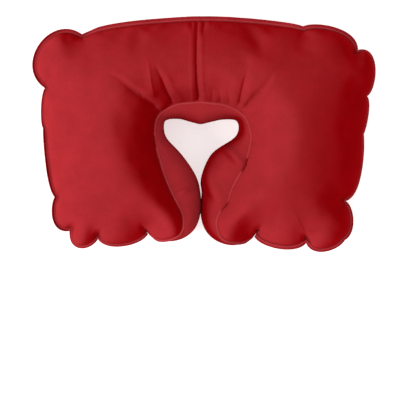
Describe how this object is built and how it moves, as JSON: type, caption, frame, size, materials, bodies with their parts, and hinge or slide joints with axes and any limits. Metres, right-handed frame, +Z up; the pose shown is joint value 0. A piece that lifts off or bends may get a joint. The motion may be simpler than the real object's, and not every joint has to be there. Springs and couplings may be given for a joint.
{
  "type": "inflatable neck pillow",
  "caption": "U-shaped flocked inflatable travel neck pillow with puckered outer weld, bulging neck gusset, hinged-open arms and push-in oral inflation valve.",
  "frame": {"origin": "centre of the pillow's outline, on the surface it lies on", "axes": "+Z up, away from the surface the pillow lies on; the arms point to -Y and the back of the U is at +Y; +X towards the arm with the valve"},
  "size_m": [0.411, 0.2822, 0.0877],
  "materials": {
    "flocked_film": "matte velvet flock",
    "clear_vinyl": "soft translucent vinyl"
  },
  "bodies": {
    "right_arm": {"upper_panel_right": "flocked_film", "lower_panel_right": "flocked_film", "neck_gusset_right": "flocked_film", "valve_base": "clear_vinyl"},
    "left_arm": {"upper_panel_left": "flocked_film", "lower_panel_left": "flocked_film", "neck_gusset_left": "flocked_film"},
    "valve_stem": {"valve_stem": "clear_vinyl"},
    "check_flap": {"check_flap": "clear_vinyl"},
    "valve_plug": {"valve_plug": "clear_vinyl"}
  },
  "joints": [
    {"name": "arms_open", "type": "hinge", "parent": "right_arm", "child": "left_arm", "pos_m": [-0.0039, 0.1411, 0.042], "axis": [0, 0, -1], "range_deg": [0, 25], "stiffness_Nm_per_rad": 0.6},
    {"name": "stem_slide", "type": "slide", "parent": "right_arm", "child": "valve_stem", "axis": [0.8814, -0.1703, -0.4407], "range_m": [0, 0.009]},
    {"name": "plug_open", "type": "hinge", "parent": "valve_stem", "child": "valve_plug", "pos_m": [0.18397, -0.03531, 0.02906], "axis": [-0.1897, -0.9818, 0], "range_deg": [0, 150]},
    {"name": "flap_open", "type": "hinge", "parent": "valve_stem", "child": "check_flap", "pos_m": [0.15843, -0.03038, 0.02645], "axis": [-0.1897, -0.9818, 0], "range_deg": [0, 50]}
  ]
}
